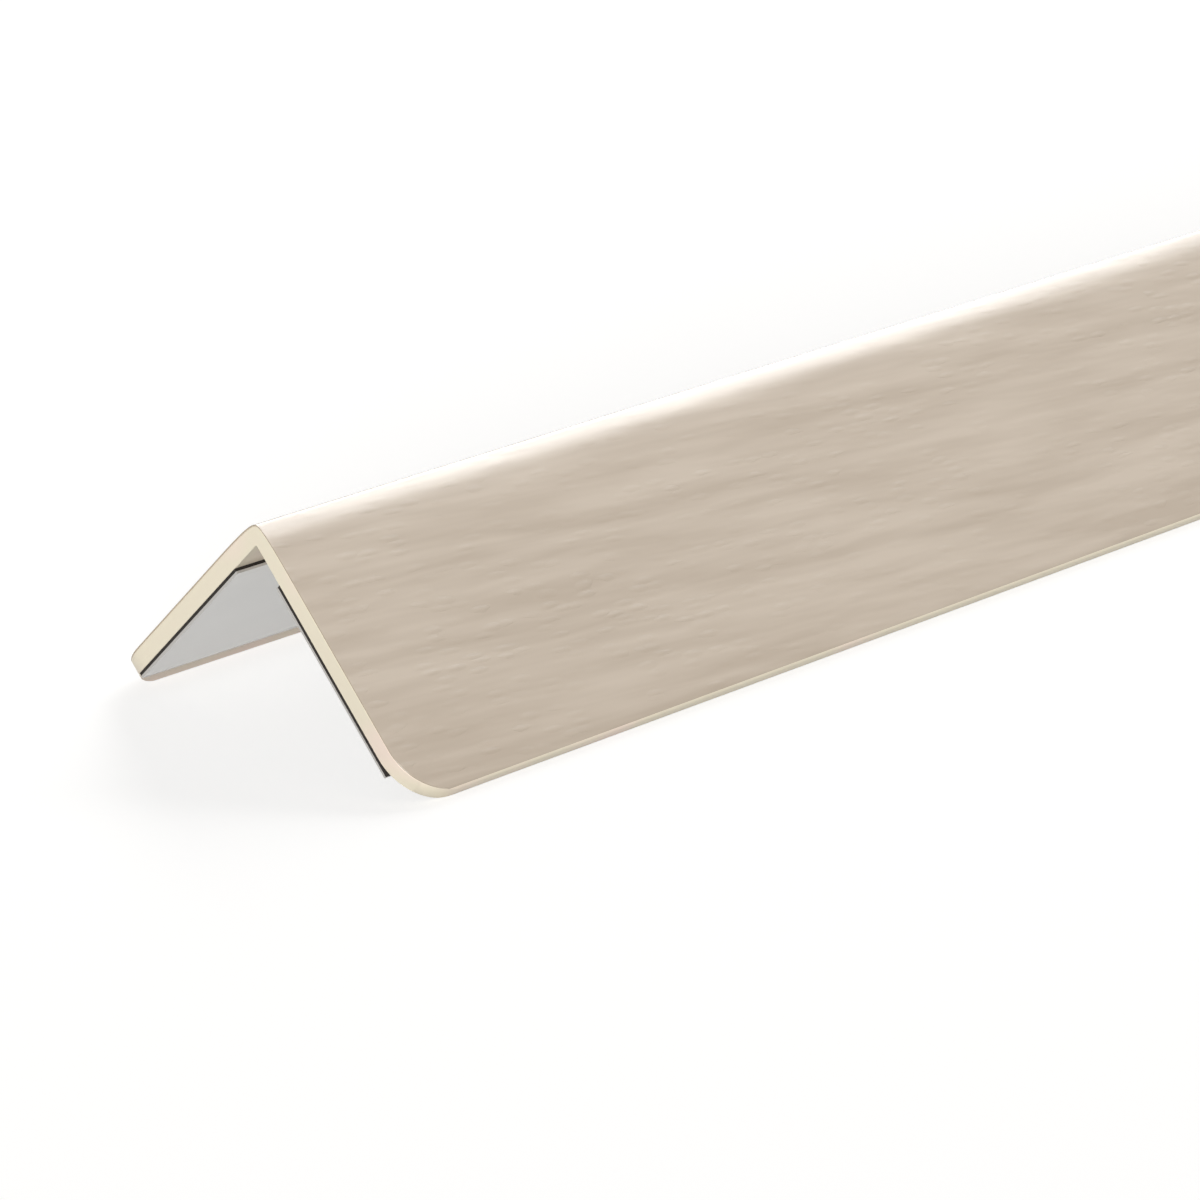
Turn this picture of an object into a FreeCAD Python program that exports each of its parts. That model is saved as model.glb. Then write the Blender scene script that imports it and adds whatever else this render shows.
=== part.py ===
"""Corner guard moulding: a plastic angle wrapped in wood-grain film, with self-adhesive backing.

All lengths are in millimetres. The moulding lies like a tent on the tips of its two legs, with
its length along X and its outside corner, the nose, uppermost. The origin is the middle of the
rectangle that it covers on the floor.

Every piece is first drawn in the corner frame. There the X axis is the sharp edge in which the
two outer faces would meet without the nose's rounding. The right leg runs along +Y, the left
leg along +Z, and the film's outer surface lies on the planes Z = 0 and Y = 0. One turn and one
lift then set every piece down in the resting pose, the right leg towards -Y.
"""
import FreeCAD
import Part
import math
import os
from FreeCAD import Placement, Rotation, Vector

# Overall
stock_length = 1000.0
leg_width = 30.0

# Extruded angle
wall_thickness = 1.8
inner_corner_radius = 0.3
tip_edge_radius = 0.4

# Printed wood-grain film, wrapped round the nose and stopped just short of each tip's rounding
film_thickness = 0.12
film_tip_clearance = 0.1
nose_radius = 2.0

# The outer corner of each leg, trimmed round at both ends of the stock
end_corner_radius = 5.4

# Foam tape on the inside of each leg, measured from the inside corner, and its release liner
tape_inset = 4.3
tape_width = 20.0
tape_thickness = 0.3
liner_thickness = 0.28

# How far a trimming tool reaches past the surfaces that it cuts
trim_overreach = 1.0

# The turn about X that stands the corner frame on its two legs, in degrees
resting_turn = -135.0

angle_inner = film_thickness + wall_thickness
tape_start = angle_inner + tape_inset
tape_inner = angle_inner + tape_thickness
liner_inner = tape_inner + liner_thickness
tip_arc_centre = leg_width - tip_edge_radius
film_edge = tip_arc_centre - film_tip_clearance
nose_core_radius = nose_radius - film_thickness


def rounded_corner(before, corner, after, radius):
    """The tangent arc that rounds a corner of an outline, as its start, middle and end points."""
    towards_before = (before - corner).normalize()
    towards_after = (after - corner).normalize()
    half_angle = towards_before.getAngle(towards_after) / 2
    setback = radius / math.tan(half_angle)
    bisector = (towards_before + towards_after).normalize()
    middle = corner + bisector * (radius / math.sin(half_angle) - radius)
    return corner + towards_before * setback, middle, corner + towards_after * setback


def outline_face(corners):
    """A flat face from its corners in order, each a point and the radius that rounds it or 0."""
    spans = []
    for i, (corner, radius) in enumerate(corners):
        if radius > 0:
            before = corners[i - 1][0]
            after = corners[(i + 1) % len(corners)][0]
            spans.append(rounded_corner(before, corner, after, radius))
        else:
            spans.append((corner,))
    edges = []
    for i, span in enumerate(spans):
        if len(span) > 1:
            edges.append(Part.Arc(*span).toShape())
        edges.append(Part.makeLine(span[-1], spans[(i + 1) % len(spans)][0]))
    return Part.Face(Part.Wire(edges))


def full_length(corners):
    """The bar whose section has these corners, each given as its place in Y and Z and its radius."""
    start = -stock_length / 2
    section = [(Vector(start, y, z), radius) for y, z, radius in corners]
    return outline_face(section).extrude(Vector(stock_length, 0, 0))


def on_left_leg(shape):
    """The same shape on the other leg, mirrored in the plane that halves the corner."""
    return shape.mirror(Vector(0, 0, 0), Vector(0, 1, -1))


def end_corner_trims():
    """The four tools that round the corners of the legs, each the waste outside one arc."""
    end = stock_length / 2
    arc_end = end - end_corner_radius
    arc_tip = leg_width - end_corner_radius
    past_end = end + trim_overreach
    past_tip = leg_width + trim_overreach
    below = -trim_overreach
    middle = end_corner_radius * math.sqrt(0.5)
    arc = Part.Arc(
        Vector(end, arc_tip, below),
        Vector(arc_end + middle, arc_tip + middle, below),
        Vector(arc_end, leg_width, below),
    )
    corners = [
        Vector(arc_end, leg_width, below),
        Vector(arc_end, past_tip, below),
        Vector(past_end, past_tip, below),
        Vector(past_end, arc_tip, below),
        Vector(end, arc_tip, below),
    ]
    waste = Part.Face(Part.Wire([arc.toShape()] + Part.makePolygon(corners).Edges))
    tool = waste.extrude(Vector(0, 0, angle_inner + 2 * trim_overreach))
    both_ends = [tool, tool.mirror(Vector(0, 0, 0), Vector(1, 0, 0))]
    return both_ends + [on_left_leg(one) for one in both_ends]


def pvc_angle():
    """The extruded angle: both tips rounded on both edges, and a nose concentric with the film's."""
    bar = full_length([
        (film_thickness, film_thickness, nose_core_radius),
        (leg_width, film_thickness, tip_edge_radius),
        (leg_width, angle_inner, tip_edge_radius),
        (angle_inner, angle_inner, inner_corner_radius),
        (angle_inner, leg_width, tip_edge_radius),
        (film_thickness, leg_width, tip_edge_radius),
    ])
    return bar.cut(end_corner_trims())


def wood_grain_film():
    """The printed film over both outer faces and the nose, trimmed together with the angle."""
    bar = full_length([
        (0, 0, nose_radius),
        (film_edge, 0, 0),
        (film_edge, film_thickness, 0),
        (film_thickness, film_thickness, nose_core_radius),
        (film_thickness, film_edge, 0),
        (0, film_edge, 0),
    ])
    return bar.cut(end_corner_trims())


def backing_strip(lowest, highest):
    """A strip as wide as the tape on the right leg, between two depths below the film's surface."""
    return full_length([
        (tape_start, lowest, 0),
        (tape_start + tape_width, lowest, 0),
        (tape_start + tape_width, highest, 0),
        (tape_start, highest, 0),
    ])


def at_rest(shape):
    """A piece turned and lifted from the corner frame so that both tips touch the floor."""
    tip_reach = tip_arc_centre + angle_inner - tip_edge_radius + tip_edge_radius * math.sqrt(2)
    lift = Vector(0, 0, tip_reach / math.sqrt(2))
    resting = shape.copy()
    resting.Placement = Placement(lift, Rotation(Vector(1, 0, 0), resting_turn))
    return resting


def main():
    tape = backing_strip(angle_inner, tape_inner)
    liner = backing_strip(tape_inner, liner_inner)
    pieces = {
        "pvc_angle": pvc_angle(),
        "wood_grain_film": wood_grain_film(),
        "foam_tape_right": tape,
        "foam_tape_left": on_left_leg(tape),
        "release_liner_right": liner,
        "release_liner_left": on_left_leg(liner),
    }
    os.makedirs("parts", exist_ok=True)
    for name, shape in pieces.items():
        at_rest(shape).exportStep(f"parts/{name}.step")


main()
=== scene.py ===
"""Looks of a corner guard moulding: extruded angle, wood-grain film, foam tapes and liners.

The file is laid out as an add-on. Its sizes and colours are properties of the scene, each piece
or pair of pieces has an operator, and main() calls the operators in order. Lengths are metres.

Points are given in two ways. In the resting frame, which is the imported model's, the stock lies
along X and its nose is uppermost. In the section, a point on a leg is given by its reach, which
is its distance from the sharp outer edge that the nose rounds off, and by its depth below the
film's outer face.
"""

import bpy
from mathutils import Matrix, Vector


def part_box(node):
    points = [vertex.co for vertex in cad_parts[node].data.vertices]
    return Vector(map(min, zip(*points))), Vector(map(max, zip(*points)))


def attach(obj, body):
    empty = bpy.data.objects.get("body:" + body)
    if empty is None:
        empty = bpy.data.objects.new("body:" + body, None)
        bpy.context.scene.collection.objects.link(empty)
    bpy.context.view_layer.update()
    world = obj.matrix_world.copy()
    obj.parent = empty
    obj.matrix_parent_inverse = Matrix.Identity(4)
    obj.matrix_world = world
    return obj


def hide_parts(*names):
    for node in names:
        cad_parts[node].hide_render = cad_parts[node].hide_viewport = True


bl_info = {
    "name": "Corner Guard Moulding",
    "version": (1, 0, 0),
    "blender": (4, 5, 0),
    "location": "View3D > Sidebar > Corner Guard",
    "description": "Builds the pieces, finishes and studio of a film-wrapped corner guard",
    "category": "Add Mesh",
}
import math

import bmesh
import bpy
from bpy.props import FloatProperty, FloatVectorProperty, PointerProperty
from mathutils import Matrix, Vector, noise

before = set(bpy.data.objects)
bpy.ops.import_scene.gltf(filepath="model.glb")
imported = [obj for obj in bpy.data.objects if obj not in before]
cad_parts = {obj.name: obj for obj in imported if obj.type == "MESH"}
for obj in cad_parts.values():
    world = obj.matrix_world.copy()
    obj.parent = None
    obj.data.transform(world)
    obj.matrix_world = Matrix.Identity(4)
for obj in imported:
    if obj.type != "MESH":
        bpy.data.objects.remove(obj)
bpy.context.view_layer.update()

MM = 0.001
HALF_CORNER = math.radians(45)
NEAR_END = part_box("pvc_angle")[0].x
FAR_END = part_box("pvc_angle")[1].x
# The legs, each with the side of Y that it reaches to
LEGS = (("right", -1), ("left", 1))

# The smooth section is drawn this much smaller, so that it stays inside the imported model's facets
FACET_ALLOWANCE = 0.9996


def linear(hex_colour):
    """An sRGB hex colour as linear red, green and blue."""
    channels = [int(hex_colour[i:i + 2], 16) / 255 for i in (1, 3, 5)]
    return tuple(c / 12.92 if c <= 0.04045 else ((c + 0.055) / 1.055) ** 2.4 for c in channels)


def length_property(name, description, millimetres):
    return FloatProperty(
        name=name, description=description, default=millimetres * MM, unit="LENGTH", precision=5)


def colour_property(name, description, hex_colour):
    return FloatVectorProperty(
        name=name, description=description, default=linear(hex_colour), subtype="COLOR",
        min=0, max=1)


class MouldingSizes(bpy.types.PropertyGroup):
    leg_width: length_property("Leg width", "From the sharp outer edge to a leg's tip", 30)
    wall_thickness: length_property("Wall", "Thickness of the extruded plastic", 1.8)
    inner_corner_radius: length_property("Inner radius", "Radius of the inside corner", 0.3)
    tip_edge_radius: length_property("Tip radius", "Rounding of a tip's two long edges", 0.4)
    end_corner_radius: length_property("End corner", "Radius that trims the legs' ends", 5.4)
    sawn_chamfer: length_property("Sawn chamfer", "Broken edge of the sawn plastic", 0.06)
    film_thickness: length_property("Film", "Thickness of the wood-grain film", 0.12)
    nose_radius: length_property("Nose radius", "Radius of the nose over the film", 2)
    film_wrap: length_property("Film wrap", "How far the film runs onto a tip's rounding", 0.2)
    film_press_width: length_property("Pressed edge", "How far in the film's edge is pressed", 0.8)
    film_press_depth: length_property("Press depth", "How much the film's edge loses", 0.11)
    film_chamfer: length_property("Film chamfer", "Broken edge of the sawn film", 0.03)
    tape_inset: length_property("Tape inset", "From the inside corner to the tape", 4.3)
    tape_width: length_property("Tape width", "Width of the tape and its liner", 20)
    tape_thickness: length_property("Tape", "Thickness of the foam tape", 0.3)
    liner_thickness: length_property("Liner", "Thickness of the release liner", 0.28)
    liner_cockle: length_property("Cockle", "Depth of the waves in the liner's face", 0.03)
    slit_edge_radius: length_property("Slit edge", "Rounding of the strips' long edges", 0.03)
    foam_edge_hollow: length_property("Hollow", "How hollow the tape's long edges are", 0.04)


class MouldingColours(bpy.types.PropertyGroup):
    film_light: colour_property("Film light", "Paler early wood of the print", "#D0C1AF")
    film_dark: colour_property("Film dark", "Darker late wood of the print", "#C0B09D")
    film_edge: colour_property("Film edge", "Cut edge of the film", "#B3A48E")
    plastic: colour_property("Plastic", "Ivory of the extruded plastic", "#F4EAD3")
    plastic_blush: colour_property("Blush", "Pinker ivory that it drifts to", "#FCE8D9")
    foam: colour_property("Foam", "Brown-black of the foam tape", "#27221D")
    liner: colour_property("Liner", "Coated face of the release liner", "#F6F5F2")
    liner_edge: colour_property("Liner edge", "Cut edge of the release liner", "#BCB8B3")
    floor: colour_property("Floor", "Pale grey board under the moulding", "#B8B7B5")


def add_node(tree, kind, settings=None, links=None, **attributes):
    """Adds a shader node with its attributes, the values of its sockets and the links into it.

    A Mix node's sockets go by number: 0 is the factor, 2 and 3 are its values A and B, and 6
    and 7 its colours A and B.
    """
    node = tree.nodes.new(kind)
    for name, value in attributes.items():
        setattr(node, name, value)
    for socket, value in (settings or {}).items():
        node.inputs[socket].default_value = value
    for socket, source in (links or {}).items():
        tree.links.new(source, node.inputs[socket])
    return node


def new_material(name):
    """An empty node material and its tree."""
    material = bpy.data.materials.new(name)
    material.use_nodes = True
    material.node_tree.nodes.clear()
    return material, material.node_tree


def dress(piece, material):
    """Gives a piece its finish, and sets it on the moulding as a piece with that material slot."""
    piece.data.materials.append(material)
    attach(piece, "root")


# A light or dark patch of the noise is about this share of its cell
PATCH_SHARE = 0.6


def streaks(tree, place, length, width, detail=2.0):
    """Soft noise drawn out along the first axis, in streaks of about that real size."""
    stretched = add_node(
        tree, "ShaderNodeMapping",
        {"Scale": (PATCH_SHARE / length, PATCH_SHARE / width, PATCH_SHARE / width)},
        {"Vector": place})
    return add_node(
        tree, "ShaderNodeTexNoise", {"Scale": 1.0, "Detail": detail, "Roughness": 0.5},
        {"Vector": stretched.outputs[0]}).outputs["Fac"]


# How far the grain runs off the length of the moulding
GRAIN_SKEW = math.radians(4.4)
# The most that the grain could waver either way. The noise stays mostly between 0.3 and 0.7, so
# the grain wavers by about 0.3 mm.
GRAIN_WAVER = 0.8 * MM
# The cells of the emboss, most of which hold a raised dash
DASH_LENGTH = 3 * MM
DASH_WIDTH = 0.85 * MM
EMBOSS_DEPTH = 0.11 * MM


def grain_coordinates(tree, developed):
    """The developed surface, turned and shifted so that its first axis follows the grain."""
    skewed = add_node(
        tree, "ShaderNodeMapping", {"Rotation": (0, 0, -GRAIN_SKEW)}, {"Vector": developed})
    waver = streaks(tree, skewed.outputs[0], 14 * MM, 3 * MM)
    sideways = add_node(
        tree, "ShaderNodeMath", {1: 2 * GRAIN_WAVER, 2: -GRAIN_WAVER}, {0: waver},
        operation="MULTIPLY_ADD")
    shift = add_node(tree, "ShaderNodeCombineXYZ", links={"Y": sideways.outputs[0]})
    return add_node(
        tree, "ShaderNodeVectorMath", links={0: skewed.outputs[0], 1: shift.outputs[0]},
        operation="ADD").outputs[0]


def raised_dashes(tree, place):
    """Height of the emboss's short dashes, from 0 to 1."""
    cells = add_node(
        tree, "ShaderNodeMapping", {"Scale": (1 / DASH_LENGTH, 1 / DASH_WIDTH, 1)},
        {"Vector": place})
    dash = add_node(
        tree, "ShaderNodeTexVoronoi", {"Scale": 1.0}, {"Vector": cells.outputs[0]},
        voronoi_dimensions="2D")
    # A dash falls from its crest to nothing over half a cell
    rounded = add_node(
        tree, "ShaderNodeMapRange", {"From Min": 0.5, "From Max": 0.05},
        {"Value": dash.outputs["Distance"]}, interpolation_type="SMOOTHSTEP")
    # Each cell has a random shade, and those darker than 0.4 hold no dash
    height = add_node(
        tree, "ShaderNodeMapRange", {"From Min": 0.4, "From Max": 0.8},
        {"Value": dash.outputs["Color"]})
    return add_node(
        tree, "ShaderNodeMath", links={0: rounded.outputs[0], 1: height.outputs[0]},
        operation="MULTIPLY").outputs[0]


def film_material(colours):
    """Printed PVC decor film, embossed with wood grain and lacquered to a satin."""
    material, tree = new_material("printed_PVC_film_embossed")
    developed = add_node(tree, "ShaderNodeUVMap", uv_map="developed").outputs["UV"]
    grain_place = grain_coordinates(tree, developed)
    short = streaks(tree, grain_place, 4.5 * MM, 0.9 * MM)
    lengthy = streaks(tree, grain_place, 12 * MM, 1.1 * MM)
    broad = streaks(tree, grain_place, 30 * MM, 3 * MM)
    # A quarter of the emboss is soft streaks, the rest dashes
    relief = add_node(
        tree, "ShaderNodeMix", {0: 0.25}, {2: raised_dashes(tree, grain_place), 3: short})
    # The emboss is deep in clusters of about 18 by 6 mm, and shallow between them
    clusters = streaks(tree, developed, 18 * MM, 6 * MM, detail=1.0)
    strength = add_node(
        tree, "ShaderNodeMapRange",
        {"From Min": 0.38, "From Max": 0.62, "To Min": 0.35, "To Max": 1.0}, {"Value": clusters})
    emboss = add_node(
        tree, "ShaderNodeBump", {"Distance": EMBOSS_DEPTH},
        {"Height": relief.outputs[0], "Strength": strength.outputs[0]})
    # The print has longer streaks than the emboss
    tone = add_node(tree, "ShaderNodeMix", {0: 0.3}, {2: lengthy, 3: broad})
    share = add_node(
        tree, "ShaderNodeMapRange", {"From Min": 0.37, "From Max": 0.63}, {"Value": tone.outputs[0]})
    printed = add_node(
        tree, "ShaderNodeMix", {6: (*colours.film_dark, 1), 7: (*colours.film_light, 1)},
        {0: share.outputs[0]}, data_type="RGBA")
    cut = add_node(tree, "ShaderNodeAttribute", attribute_name="cut_edge")
    coloured = add_node(
        tree, "ShaderNodeMix", {7: (*colours.film_edge, 1)},
        {0: cut.outputs["Fac"], 6: printed.outputs[2]}, data_type="RGBA")
    shader = add_node(
        tree, "ShaderNodeBsdfPrincipled",
        {"Roughness": 0.5, "IOR": 1.52, "Specular IOR Level": 0.2, "Coat Weight": 1.0,
         "Coat Roughness": 0.2},
        {"Base Color": coloured.outputs[2], "Normal": emboss.outputs["Normal"]})
    add_node(tree, "ShaderNodeOutputMaterial", links={"Surface": shader.outputs["BSDF"]})
    return material


# Moves the plastic's drift of colour, so that the blush lies near the right leg's tip
BLUSH_SHIFT_MM = (45, 4, 4)
# Width of the plastic's die lines and saw marks
MARK_WIDTH = 0.4 * MM
# Depth of those marks and of the liner's fibres
FINE_RELIEF = 0.012 * MM


def plastic_material(colours):
    """Rigid PVC, extruded and sawn: die lines run along it, and saw marks cross its ends."""
    material, tree = new_material("rigid_PVC_extruded")
    place = add_node(tree, "ShaderNodeTexCoord").outputs["Object"]
    drift_place = add_node(
        tree, "ShaderNodeMapping", {"Location": [c * MM for c in BLUSH_SHIFT_MM]},
        {"Vector": place})
    drift = streaks(tree, drift_place.outputs[0], 7 * MM, 7 * MM, detail=1.0)
    share = add_node(
        tree, "ShaderNodeMapRange", {"From Min": 0.46, "From Max": 0.62}, {"Value": drift})
    ivory = add_node(
        tree, "ShaderNodeMix", {6: (*colours.plastic, 1), 7: (*colours.plastic_blush, 1)},
        {0: share.outputs[0]}, data_type="RGBA")
    die_lines = streaks(tree, place, 60 * MM, MARK_WIDTH)
    # Saw marks are drawn out up the cut end
    saw_place = add_node(
        tree, "ShaderNodeMapping", {"Rotation": (math.radians(20), 0, 0), "Scale": (1, 1, 0.06)},
        {"Vector": place})
    saw_marks = streaks(tree, saw_place.outputs[0], MARK_WIDTH, MARK_WIDTH)
    cut = add_node(tree, "ShaderNodeAttribute", attribute_name="cut_edge")
    marks = add_node(
        tree, "ShaderNodeMix", links={0: cut.outputs["Fac"], 2: die_lines, 3: saw_marks})
    bump = add_node(
        tree, "ShaderNodeBump", {"Strength": 1.0, "Distance": FINE_RELIEF},
        {"Height": marks.outputs[0]})
    shader = add_node(
        tree, "ShaderNodeBsdfPrincipled", {"Roughness": 0.45, "IOR": 1.53},
        {"Base Color": ivory.outputs[2], "Normal": bump.outputs["Normal"]})
    add_node(tree, "ShaderNodeOutputMaterial", links={"Surface": shader.outputs["BSDF"]})
    return material


# The real cells of the foam are under 0.1 mm, and are drawn twice as coarse to show
FOAM_CELL = 0.2 * MM
FOAM_RELIEF = 0.03 * MM
# The foam's darkest and palest cells and the liner's dullest clouds, as shares of their colours
FOAM_DARKEST = 0.6
FOAM_PALEST = 1.3
LINER_DULLEST = 0.95


def foam_material(colours):
    """Acrylic foam tape, slit: matte and nearly black, with its cut cells open on the edges."""
    material, tree = new_material("acrylic_foam_tape_slit")
    place = add_node(tree, "ShaderNodeTexCoord").outputs["Object"]
    cells = streaks(tree, place, FOAM_CELL, FOAM_CELL)
    share = add_node(
        tree, "ShaderNodeMapRange", {"From Min": 0.35, "From Max": 0.65}, {"Value": cells})
    darkest = [FOAM_DARKEST * c for c in colours.foam]
    palest = [FOAM_PALEST * c for c in colours.foam]
    colour = add_node(
        tree, "ShaderNodeMix", {6: (*darkest, 1), 7: (*palest, 1)}, {0: share.outputs[0]},
        data_type="RGBA")
    bump = add_node(
        tree, "ShaderNodeBump", {"Strength": 1.0, "Distance": FOAM_RELIEF}, {"Height": cells})
    shader = add_node(
        tree, "ShaderNodeBsdfPrincipled", {"Roughness": 0.9, "IOR": 1.48},
        {"Base Color": colour.outputs[2], "Normal": bump.outputs["Normal"]})
    add_node(tree, "ShaderNodeOutputMaterial", links={"Surface": shader.outputs["BSDF"]})
    return material


def liner_material(colours):
    """Bleached siliconised paper, slit: a sheen on its coated face, and bare grey edges."""
    material, tree = new_material("siliconised_paper_slit")
    place = add_node(tree, "ShaderNodeTexCoord").outputs["Object"]
    fibres = streaks(tree, place, 1.5 * MM, 0.5 * MM, detail=4.0)
    clouds = streaks(tree, place, 12 * MM, 6 * MM)
    share = add_node(
        tree, "ShaderNodeMapRange", {"From Min": 0.35, "From Max": 0.65}, {"Value": clouds})
    dullest = [LINER_DULLEST * c for c in colours.liner]
    face = add_node(
        tree, "ShaderNodeMix", {6: (*dullest, 1), 7: (*colours.liner, 1)}, {0: share.outputs[0]},
        data_type="RGBA")
    cut = add_node(tree, "ShaderNodeAttribute", attribute_name="cut_edge")
    colour = add_node(
        tree, "ShaderNodeMix", {7: (*colours.liner_edge, 1)},
        {0: cut.outputs["Fac"], 6: face.outputs[2]}, data_type="RGBA")
    bump = add_node(
        tree, "ShaderNodeBump", {"Strength": 1.0, "Distance": FINE_RELIEF}, {"Height": fibres})
    shader = add_node(
        tree, "ShaderNodeBsdfPrincipled",
        {"Roughness": 0.5, "IOR": 1.47, "Coat Weight": 1.0, "Coat Roughness": 0.2},
        {"Base Color": colour.outputs[2], "Normal": bump.outputs["Normal"]})
    add_node(tree, "ShaderNodeOutputMaterial", links={"Surface": shader.outputs["BSDF"]})
    return material


# How finely the sections and the length are divided
NOSE_RUNGS = 30
FLAT_RUNGS = 12
TRIM_RUNGS = 16
PRESS_RUNGS = 12
TIP_RUNGS = 6
END_COLUMNS = 10
END_ZONE = 14 * MM
COLUMN_SPACING = 10 * MM
STRIP_SPACING = 4 * MM
STRIP_DIVISIONS = 24
# Powers that crowd the nose's rungs towards the crest, and the columns towards the stock's ends
CREST_CROWDING = 1.8
END_CROWDING = 1.5
# The share of the nose's rungs whose inner points round the inside corner
CORNER_SHARE = 0.3
# A chamfer takes at most this share of the thickness that it is cut from
CHAMFER_LIMIT = 1 / 3
# Faces that meet at more than this angle keep a sharp edge
SHARP_ANGLE = math.radians(32)

# The nose turns by 45 degrees on each leg: this share of it over a tight core and the rest in a
# long tail, as film does when it is wrapped hot round a rounded edge. The turns' lengths are
# shares of the nose's radius.
TIGHT_SHARE = 0.65
TIGHT_TURN = 0.262
TAIL_TURN = 0.762
# The nose's curve is walked in this many steps, over this many times its radius
WALK_STEPS = 1500
WALK_RADII = 4

# Size of the waves in the liner's face, along the stock and across it
COCKLE_LENGTH = 18 * MM
COCKLE_WIDTH = 14 * MM


def nose_lean(travelled, radius):
    """The angle between the film and its leg's flat, at a distance from the crest along it."""
    tight = 1 - math.tanh(travelled / (TIGHT_TURN * radius))
    tail = math.exp(-travelled / (TAIL_TURN * radius))
    return HALF_CORNER * (TIGHT_SHARE * tight + (1 - TIGHT_SHARE) * tail)


def nose_points(radius):
    """The film's outer curve on one leg, crest to flat, as (reach, depth, lean) points."""
    crest = radius * (1 - math.cos(HALF_CORNER))
    step = WALK_RADII * radius / WALK_STEPS
    leans = [nose_lean(step * (i + 0.5), radius) for i in range(WALK_STEPS)]
    # A last small stretch makes the curve end exactly on the flat
    stretch = crest / sum(math.sin(lean) * step for lean in leans)
    walk = [(crest, crest, HALF_CORNER)]
    for lean in leans:
        reach, depth, _ = walk[-1]
        walk.append((
            reach + math.cos(lean) * step * stretch, depth - math.sin(lean) * step * stretch,
            lean))
    return [walk[round(WALK_STEPS * (k / NOSE_RUNGS) ** CREST_CROWDING)]
            for k in range(NOSE_RUNGS + 1)]


def below_film(point, depth):
    """The point of the section that lies square under a point of the nose's curve."""
    reach, below, lean = point
    return reach + math.sin(lean) * depth, below + math.cos(lean) * depth


def trimmed_reaches(sizes, furthest):
    """Reaches from where the end corner's trimming starts to the furthest, even round its arc."""
    start = sizes.leg_width - sizes.end_corner_radius
    last = math.asin((furthest - start) / sizes.end_corner_radius)
    return [start + sizes.end_corner_radius * math.sin(last * k / TRIM_RUNGS)
            for k in range(TRIM_RUNGS + 1)]


def end_inset(sizes, reach):
    """How far the end of the stock is trimmed back at that reach."""
    radius = sizes.end_corner_radius
    past = max(0, reach - (sizes.leg_width - radius))
    return radius - math.sqrt(max(0, radius * radius - past * past))


def flat_reaches(start, end):
    """Even reaches between two others, without them."""
    return [start + (end - start) * k / FLAT_RUNGS for k in range(1, FLAT_RUNGS)]


def film_rungs(sizes):
    """The film's section on one leg as (outer point, inner point) pairs, crest to edge."""
    thickness = sizes.film_thickness
    nose = nose_points(sizes.nose_radius)
    rungs = [(point[:2], below_film(point, thickness)) for point in nose]
    tip = sizes.tip_edge_radius
    straight_end = sizes.leg_width - tip
    press_start = straight_end + sizes.film_wrap - sizes.film_press_width
    trimmed = trimmed_reaches(sizes, press_start)
    for reach in flat_reaches(nose[-1][0], trimmed[0]) + trimmed:
        rungs.append(((reach, 0), (reach, thickness)))
    # The pressed edge grows thinner on the flat, and follows the tip's rounding beyond it
    for k in range(1, PRESS_RUNGS + 1):
        share = k / PRESS_RUNGS
        travelled = press_start + sizes.film_press_width * share
        left = thickness - sizes.film_press_depth * share ** 2
        turn = max(0, travelled - straight_end) / tip
        reach = min(travelled, straight_end) + tip * math.sin(turn)
        depth = thickness + tip * (1 - math.cos(turn))
        outer = (reach + left * math.sin(turn), depth - left * math.cos(turn))
        rungs.append((outer, (reach, depth)))
    return rungs


def angle_rungs(sizes):
    """The plastic's section on one leg as (outer point, inner point) pairs, crest to tip."""
    outer = sizes.film_thickness
    inner = outer + sizes.wall_thickness
    radius = sizes.inner_corner_radius
    nose = nose_points(sizes.nose_radius)
    flat_start = nose[-1][0]
    rungs = []
    for k, point in enumerate(nose):
        share = k / NOSE_RUNGS
        turn = HALF_CORNER * min(1, share / CORNER_SHARE)
        along = max(0, (share - CORNER_SHARE) / (1 - CORNER_SHARE))
        reach = inner + radius - radius * math.sin(HALF_CORNER - turn)
        reach += (flat_start - inner - radius) * along
        depth = inner + radius - radius * math.cos(HALF_CORNER - turn)
        rungs.append((below_film(point, outer), (reach, depth)))
    tip = sizes.tip_edge_radius
    straight_end = sizes.leg_width - tip
    trimmed = trimmed_reaches(sizes, straight_end)
    for reach in flat_reaches(flat_start, trimmed[0]) + trimmed:
        rungs.append(((reach, outer), (reach, inner)))
    for k in range(1, TIP_RUNGS + 1):
        turn = math.pi / 2 * k / TIP_RUNGS
        reach = straight_end + tip * math.sin(turn)
        sunk = tip * (1 - math.cos(turn))
        rungs.append(((reach, outer + sunk), (reach, inner - sunk)))
    return rungs


def at_rest(sizes, side, reach, depth):
    """Y and Z at rest of a point of the section. The side is -1 on the right leg, 1 on the left."""
    tip = sizes.tip_edge_radius
    thickness = sizes.film_thickness + sizes.wall_thickness
    # The sharp outer edge stands this high, with the rounded inner edges of the tips on the floor
    height = (sizes.leg_width + thickness - (2 - math.sqrt(2)) * tip) / math.sqrt(2)
    y = side * (reach - depth) / math.sqrt(2)
    z = height - (reach + depth) / math.sqrt(2)
    return y * FACET_ALLOWANCE, z * FACET_ALLOWANCE


def length_columns(chamfer):
    """The columns of a bar as (distance from the near end, share of the end's inset, chamfer)."""
    length = FAR_END - NEAR_END
    zone = [chamfer + (END_ZONE - chamfer) * (k / END_COLUMNS) ** END_CROWDING
            for k in range(END_COLUMNS + 1)]
    near = [(0, 1, chamfer)] + [(x, 1 - x / END_ZONE, 0) for x in zone]
    count = round((length - 2 * END_ZONE) / COLUMN_SPACING)
    spacing = (length - 2 * END_ZONE) / count
    middle = [(END_ZONE + spacing * k, 0, 0) for k in range(1, count)]
    far = [(length - x, -share, drawn) for x, share, drawn in reversed(near)]
    return near + middle + far


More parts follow.
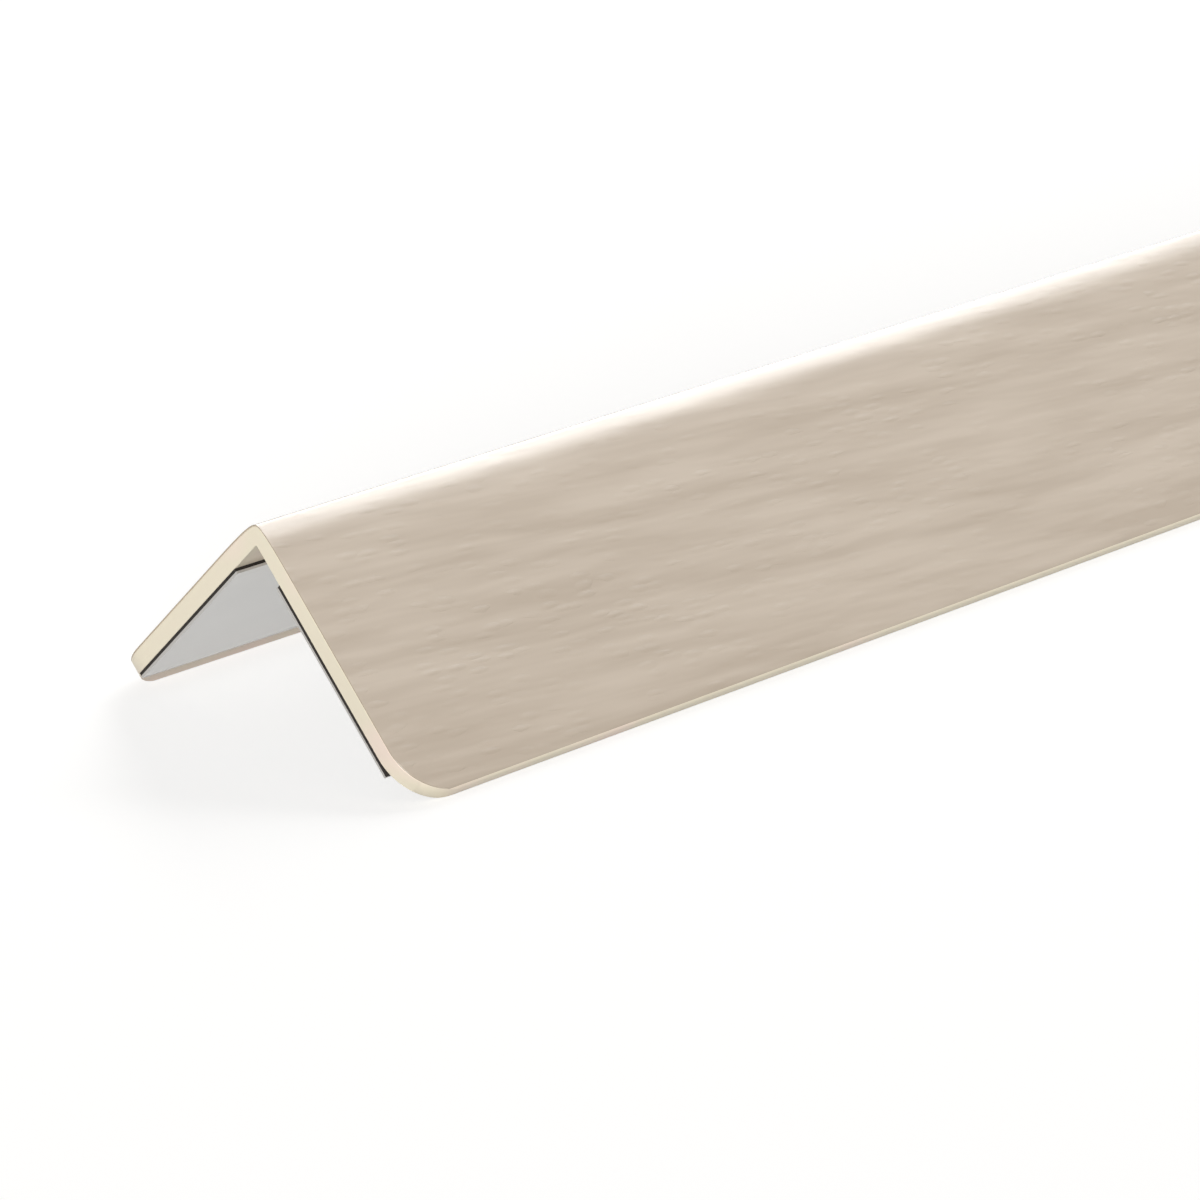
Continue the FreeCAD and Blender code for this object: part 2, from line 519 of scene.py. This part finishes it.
def drawn_in(point, towards, distance):
    """A point moved by a distance towards another, within the limit for a chamfer."""
    whole = Vector(towards) - Vector(point)
    moved = Vector(point) + whole * min(CHAMFER_LIMIT, distance / whole.length)
    return moved.x, moved.y


def mesh_piece(name, vertices, faces, cut_faces, developed):
    """A smooth-shaded object whose cut faces are marked and whose surface is developed as UV."""
    mesh = bpy.data.meshes.new(name)
    mesh.from_pydata(vertices, [], faces)
    marks = mesh.attributes.new("cut_edge", "FLOAT", "FACE")
    marks.data.foreach_set("value", [float(cut) for cut in cut_faces])
    layer = mesh.uv_layers.new(name="developed")
    for loop in mesh.loops:
        layer.data[loop.index].uv = developed[loop.vertex_index]
    shape = bmesh.new()
    shape.from_mesh(mesh)
    bmesh.ops.recalc_face_normals(shape, faces=shape.faces)
    shape.to_mesh(mesh)
    shape.free()
    mesh.shade_smooth()
    mesh.set_sharp_from_angle(angle=SHARP_ANGLE)
    piece = bpy.data.objects.new(name, mesh)
    bpy.context.scene.collection.objects.link(piece)
    return piece


def bar_piece(name, half_rungs, sizes, chamfer):
    """A closed bar of the section mirrored to both legs, with its ends trimmed and chamfered."""
    rungs = [(1, rung) for rung in reversed(half_rungs)] + [(-1, rung) for rung in half_rungs[1:]]
    columns = length_columns(chamfer)
    vertices, developed = [], []
    travelled = 0
    previous = rungs[0][1][0]
    for side, (outer, inner) in rungs:
        travelled += math.dist(previous, outer)
        previous = outer
        inset = end_inset(sizes, outer[0])
        for point, other in ((outer, inner), (inner, outer)):
            for offset, share, drawn in columns:
                x = NEAR_END + offset + inset * share
                reach, depth = drawn_in(point, other, drawn)
                vertices.append((x, *at_rest(sizes, side, reach, depth)))
                developed.append((x, travelled))
    count = len(columns)
    faces, cut_faces = [], []
    # Faces between the first two and the last two columns are chamfers, which count as cut
    for i in range(len(rungs) - 1):
        outer, inner = 2 * i * count, (2 * i + 1) * count
        over, under = outer + 2 * count, inner + 2 * count
        for j in range(count - 1):
            faces.append((outer + j, outer + j + 1, over + j + 1, over + j))
            faces.append((inner + j, under + j, under + j + 1, inner + j + 1))
            cut_faces += [j in (0, count - 2)] * 2
        last = count - 1
        faces.append((outer, over, under, inner))
        faces.append((outer + last, inner + last, under + last, over + last))
        cut_faces += [True, True]
    # The first and the last rung close the bar along the legs' tips
    for i in (0, len(rungs) - 1):
        outer, inner = 2 * i * count, (2 * i + 1) * count
        for j in range(count - 1):
            faces.append((outer + j, inner + j, inner + j + 1, outer + j + 1))
            cut_faces.append(j in (0, count - 2))
    return mesh_piece(name, vertices, faces, cut_faces, developed)


def strip_piece(name, sizes, side, lowest, highest, edge_hollow, cockle):
    """A strip on a leg's inner face, between two depths, with soft edges and a waved free face."""
    edge_radius = sizes.slit_edge_radius
    start = sizes.film_thickness + sizes.wall_thickness + sizes.tape_inset
    end = start + sizes.tape_width
    middle = (lowest + highest) / 2
    face_width = sizes.tape_width - 2 * edge_radius
    free = [(start + edge_radius + face_width * k / STRIP_DIVISIONS, highest)
            for k in range(STRIP_DIVISIONS + 1)]
    # Once round the section: the free face, one long edge, the bonded face and the other edge
    loop = free + [
        (end, highest - edge_radius), (end - edge_hollow, middle), (end, lowest + edge_radius),
        (end - edge_radius, lowest), (start + edge_radius, lowest),
        (start, lowest + edge_radius), (start + edge_hollow, middle),
        (start, highest - edge_radius)]
    length = FAR_END - NEAR_END
    count = round(length / STRIP_SPACING) + 1
    vertices, developed = [], []
    for i, (reach, depth) in enumerate(loop):
        for j in range(count):
            along = length * j / (count - 1)
            wave = 0.0
            if i < len(free):
                # The third coordinate gives each leg's strip waves of its own
                place = Vector((along / COCKLE_LENGTH, reach / COCKLE_WIDTH, 3 * side))
                wave = cockle * (0.5 + 0.5 * noise.noise(place))
            x = NEAR_END + along
            vertices.append((x, *at_rest(sizes, side, reach, depth - wave)))
            developed.append((x, reach))
    faces, cut_faces = [], []
    around = len(loop)
    # Each side of the loop runs from the point of its number to the next
    bonded_side = STRIP_DIVISIONS + 4
    for i in range(around):
        this, following = i * count, (i + 1) % around * count
        slit = i >= STRIP_DIVISIONS and i != bonded_side
        for j in range(count - 1):
            faces.append((this + j, this + j + 1, following + j + 1, following + j))
            cut_faces.append(slit)
    for j in (0, count - 1):
        faces.append([i * count + j for i in range(around)])
        cut_faces.append(True)
    return mesh_piece(name, vertices, faces, cut_faces, developed)


class CORNERGUARD_OT_angle(bpy.types.Operator):
    """Build the extruded plastic angle"""
    bl_idname = "corner_guard.angle"
    bl_label = "Plastic Angle"

    def execute(self, context):
        sizes = context.scene.corner_guard_sizes
        piece = bar_piece("extruded_angle", angle_rungs(sizes), sizes, sizes.sawn_chamfer)
        dress(piece, plastic_material(context.scene.corner_guard_colours))
        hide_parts("pvc_angle")
        return {"FINISHED"}


class CORNERGUARD_OT_film(bpy.types.Operator):
    """Build the wood-grain film round the angle"""
    bl_idname = "corner_guard.film"
    bl_label = "Wood-Grain Film"

    def execute(self, context):
        sizes = context.scene.corner_guard_sizes
        piece = bar_piece("grain_film", film_rungs(sizes), sizes, sizes.film_chamfer)
        dress(piece, film_material(context.scene.corner_guard_colours))
        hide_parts("wood_grain_film")
        return {"FINISHED"}


class CORNERGUARD_OT_tapes(bpy.types.Operator):
    """Build the foam tape on each leg"""
    bl_idname = "corner_guard.tapes"
    bl_label = "Foam Tapes"

    def execute(self, context):
        sizes = context.scene.corner_guard_sizes
        material = foam_material(context.scene.corner_guard_colours)
        lowest = sizes.film_thickness + sizes.wall_thickness
        highest = lowest + sizes.tape_thickness
        for name, side in LEGS:
            piece = strip_piece(
                "foam_strip_" + name, sizes, side, lowest, highest, sizes.foam_edge_hollow, 0)
            dress(piece, material)
            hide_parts("foam_tape_" + name)
        return {"FINISHED"}


class CORNERGUARD_OT_liners(bpy.types.Operator):
    """Build the release liner on each tape"""
    bl_idname = "corner_guard.liners"
    bl_label = "Release Liners"

    def execute(self, context):
        sizes = context.scene.corner_guard_sizes
        material = liner_material(context.scene.corner_guard_colours)
        lowest = sizes.film_thickness + sizes.wall_thickness + sizes.tape_thickness
        highest = lowest + sizes.liner_thickness
        for name, side in LEGS:
            piece = strip_piece(
                "liner_strip_" + name, sizes, side, lowest, highest, 0, sizes.liner_cockle)
            dress(piece, material)
            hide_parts("release_liner_" + name)
        return {"FINISHED"}


# The camera, fitted to the photograph's edges. Its aim is set off from the near end's sharp outer
# edge across and up the picture. The sensor is as wide as the picture.
CAMERA_AZIMUTH = math.radians(-44.162)
CAMERA_ELEVATION = math.radians(20.712)
CAMERA_DISTANCE = 461.43 * MM
CAMERA_ACROSS = 30.724 * MM
CAMERA_UP = -7.449 * MM
FOCAL_LENGTHS_PER_FRAME = 5176.8 / 1200
SENSOR_WIDTH_MM = 36.0
CLIP_START = 10 * MM
CLIP_END = 100

FLOOR_SIZE = 40.0
# How bright the floor is made where it is seen, beyond its lit paint, and the sky that lights
# the object. 1 is white in the picture.
FLOOR_GLOW = 0.66
AMBIENT = 0.22

# The key is a curved softbox of three panels, each given as its turn about the length from +Y
# and its radiance. It ends short of where the camera would see it mirrored in the flat, and so
# it shows in the nose alone.
KEY_ALONG = 0.68
KEY_PANELS = ((math.radians(33.5), 5.5), (math.radians(62.5), 8.0), (math.radians(91.5), 9.5))
KEY_DISTANCE = 4.0
KEY_WIDTH = 1.0
KEY_HEIGHT = 1.52

# The fill is a low sun in front of the near end, with a wide and so a soft disc
FILL_DIRECTION = Vector((-0.78, -0.6, 0.12))
FILL_DISTANCE = 3.0
FILL_STRENGTH = 3.15
FILL_ANGLE = math.radians(35)


def seen_directly(tree):
    """1 for rays of the camera, of mirrors and of glass, 0 for those that light other things."""
    path = add_node(tree, "ShaderNodeLightPath").outputs
    mirrored = add_node(
        tree, "ShaderNodeMath", links={0: path["Is Glossy Ray"], 1: path["Is Transmission Ray"]},
        operation="MAXIMUM")
    return add_node(
        tree, "ShaderNodeMath", links={0: path["Is Camera Ray"], 1: mirrored.outputs[0]},
        operation="MAXIMUM").outputs[0]


def floor_material(colours):
    """Matte painted board. Where it is seen it glows up to white, and keeps its shadow."""
    material, tree = new_material("matte_painted_board")
    paint = add_node(
        tree, "ShaderNodeBsdfDiffuse", {"Color": (*colours.floor, 1), "Roughness": 0.5})
    strength = add_node(
        tree, "ShaderNodeMath", {1: FLOOR_GLOW}, {0: seen_directly(tree)}, operation="MULTIPLY")
    glow = add_node(
        tree, "ShaderNodeEmission", {"Color": (1, 1, 1, 1)}, {"Strength": strength.outputs[0]})
    both = add_node(tree, "ShaderNodeAddShader", links={0: paint.outputs[0], 1: glow.outputs[0]})
    add_node(tree, "ShaderNodeOutputMaterial", links={"Surface": both.outputs[0]})
    return material


def add_floor(colours):
    mesh = bpy.data.meshes.new("studio_floor")
    half = FLOOR_SIZE / 2
    corners = [(-half, -half, 0), (half, -half, 0), (half, half, 0), (-half, half, 0)]
    mesh.from_pydata(corners, [], [(0, 1, 2, 3)])
    mesh.materials.append(floor_material(colours))
    floor = bpy.data.objects.new("studio_floor", mesh)
    bpy.context.scene.collection.objects.link(floor)


def add_world():
    """White where it is seen, and a plain ambient level on the object."""
    world = bpy.data.worlds.new("studio_world")
    world.use_nodes = True
    tree = world.node_tree
    tree.nodes.clear()
    strength = add_node(
        tree, "ShaderNodeMapRange", {"To Min": AMBIENT, "To Max": 1.0},
        {"Value": seen_directly(tree)})
    background = add_node(
        tree, "ShaderNodeBackground", {"Color": (1, 1, 1, 1)}, {"Strength": strength.outputs[0]})
    add_node(tree, "ShaderNodeOutputWorld", links={"Surface": background.outputs[0]})
    bpy.context.scene.world = world


def add_lamp(name, kind, direction, distance, **settings):
    """A lamp in that direction from the near end, aimed at it and unseen by the camera."""
    data = bpy.data.lights.new(name, kind)
    for setting, value in settings.items():
        setattr(data, setting, value)
    lamp = bpy.data.objects.new(name, data)
    aim = direction.normalized()
    along = Vector((1, 0, 0))
    along = (along - aim * along.dot(aim)).normalized()
    turned = Matrix((along, aim.cross(along), aim)).transposed().to_4x4()
    target = Vector((NEAR_END, 0, 0))
    lamp.matrix_world = Matrix.Translation(target + aim * distance) @ turned
    lamp.visible_camera = False
    bpy.context.scene.collection.objects.link(lamp)


def add_camera(sizes):
    """The camera at the photograph's angle, level along its own sideways axis."""
    back = Vector((
        math.sin(CAMERA_AZIMUTH) * math.cos(CAMERA_ELEVATION),
        -math.cos(CAMERA_AZIMUTH) * math.cos(CAMERA_ELEVATION),
        math.sin(CAMERA_ELEVATION)))
    across = Vector((math.cos(CAMERA_AZIMUTH), math.sin(CAMERA_AZIMUTH), 0))
    up = back.cross(across)
    data = bpy.data.cameras.new("studio_camera")
    data.sensor_width = SENSOR_WIDTH_MM
    data.lens = SENSOR_WIDTH_MM * FOCAL_LENGTHS_PER_FRAME
    data.clip_start = CLIP_START
    data.clip_end = CLIP_END
    camera = bpy.data.objects.new("studio_camera", data)
    sharp_edge = Vector((NEAR_END, *at_rest(sizes, 1, 0, 0)))
    place = sharp_edge + back * CAMERA_DISTANCE + across * CAMERA_ACROSS + up * CAMERA_UP
    turned = Matrix((across, up, back)).transposed().to_4x4()
    camera.matrix_world = Matrix.Translation(place) @ turned
    bpy.context.scene.collection.objects.link(camera)
    bpy.context.scene.camera = camera


class CORNERGUARD_OT_stage(bpy.types.Operator):
    """Set up the floor, the lamps and the camera"""
    bl_idname = "corner_guard.stage"
    bl_label = "Studio"

    def execute(self, context):
        scene = context.scene
        add_floor(scene.corner_guard_colours)
        add_world()
        # A flat lamp's power is its radiance times its area times pi
        panel_share = math.pi * KEY_WIDTH * KEY_HEIGHT
        slant = math.sqrt(1 - KEY_ALONG ** 2)
        for turn, radiance in KEY_PANELS:
            direction = Vector((KEY_ALONG, slant * math.cos(turn), slant * math.sin(turn)))
            add_lamp(
                "key_panel", "AREA", direction, KEY_DISTANCE, shape="RECTANGLE", size=KEY_WIDTH,
                size_y=KEY_HEIGHT, energy=radiance * panel_share)
        add_lamp(
            "fill_sun", "SUN", FILL_DIRECTION, FILL_DISTANCE, energy=FILL_STRENGTH,
            angle=FILL_ANGLE)
        add_camera(scene.corner_guard_sizes)
        scene.view_settings.view_transform = "Standard"
        return {"FINISHED"}


class CORNERGUARD_PT_panel(bpy.types.Panel):
    bl_idname = "CORNERGUARD_PT_panel"
    bl_label = "Corner Guard"
    bl_space_type = "VIEW_3D"
    bl_region_type = "UI"
    bl_category = "Corner Guard"

    def draw(self, context):
        for operator in OPERATORS:
            self.layout.operator(operator.bl_idname)


OPERATORS = (
    CORNERGUARD_OT_angle,
    CORNERGUARD_OT_film,
    CORNERGUARD_OT_tapes,
    CORNERGUARD_OT_liners,
    CORNERGUARD_OT_stage,
)
CLASSES = (MouldingSizes, MouldingColours, *OPERATORS, CORNERGUARD_PT_panel)


def register():
    for cls in CLASSES:
        bpy.utils.register_class(cls)
    bpy.types.Scene.corner_guard_sizes = PointerProperty(type=MouldingSizes)
    bpy.types.Scene.corner_guard_colours = PointerProperty(type=MouldingColours)


def unregister():
    del bpy.types.Scene.corner_guard_colours
    del bpy.types.Scene.corner_guard_sizes
    for cls in reversed(CLASSES):
        bpy.utils.unregister_class(cls)


def main():
    register()
    bpy.ops.corner_guard.angle()
    bpy.ops.corner_guard.film()
    bpy.ops.corner_guard.tapes()
    bpy.ops.corner_guard.liners()
    bpy.ops.corner_guard.stage()
    bpy.context.view_layer.update()


if __name__ == "__main__":
    main()
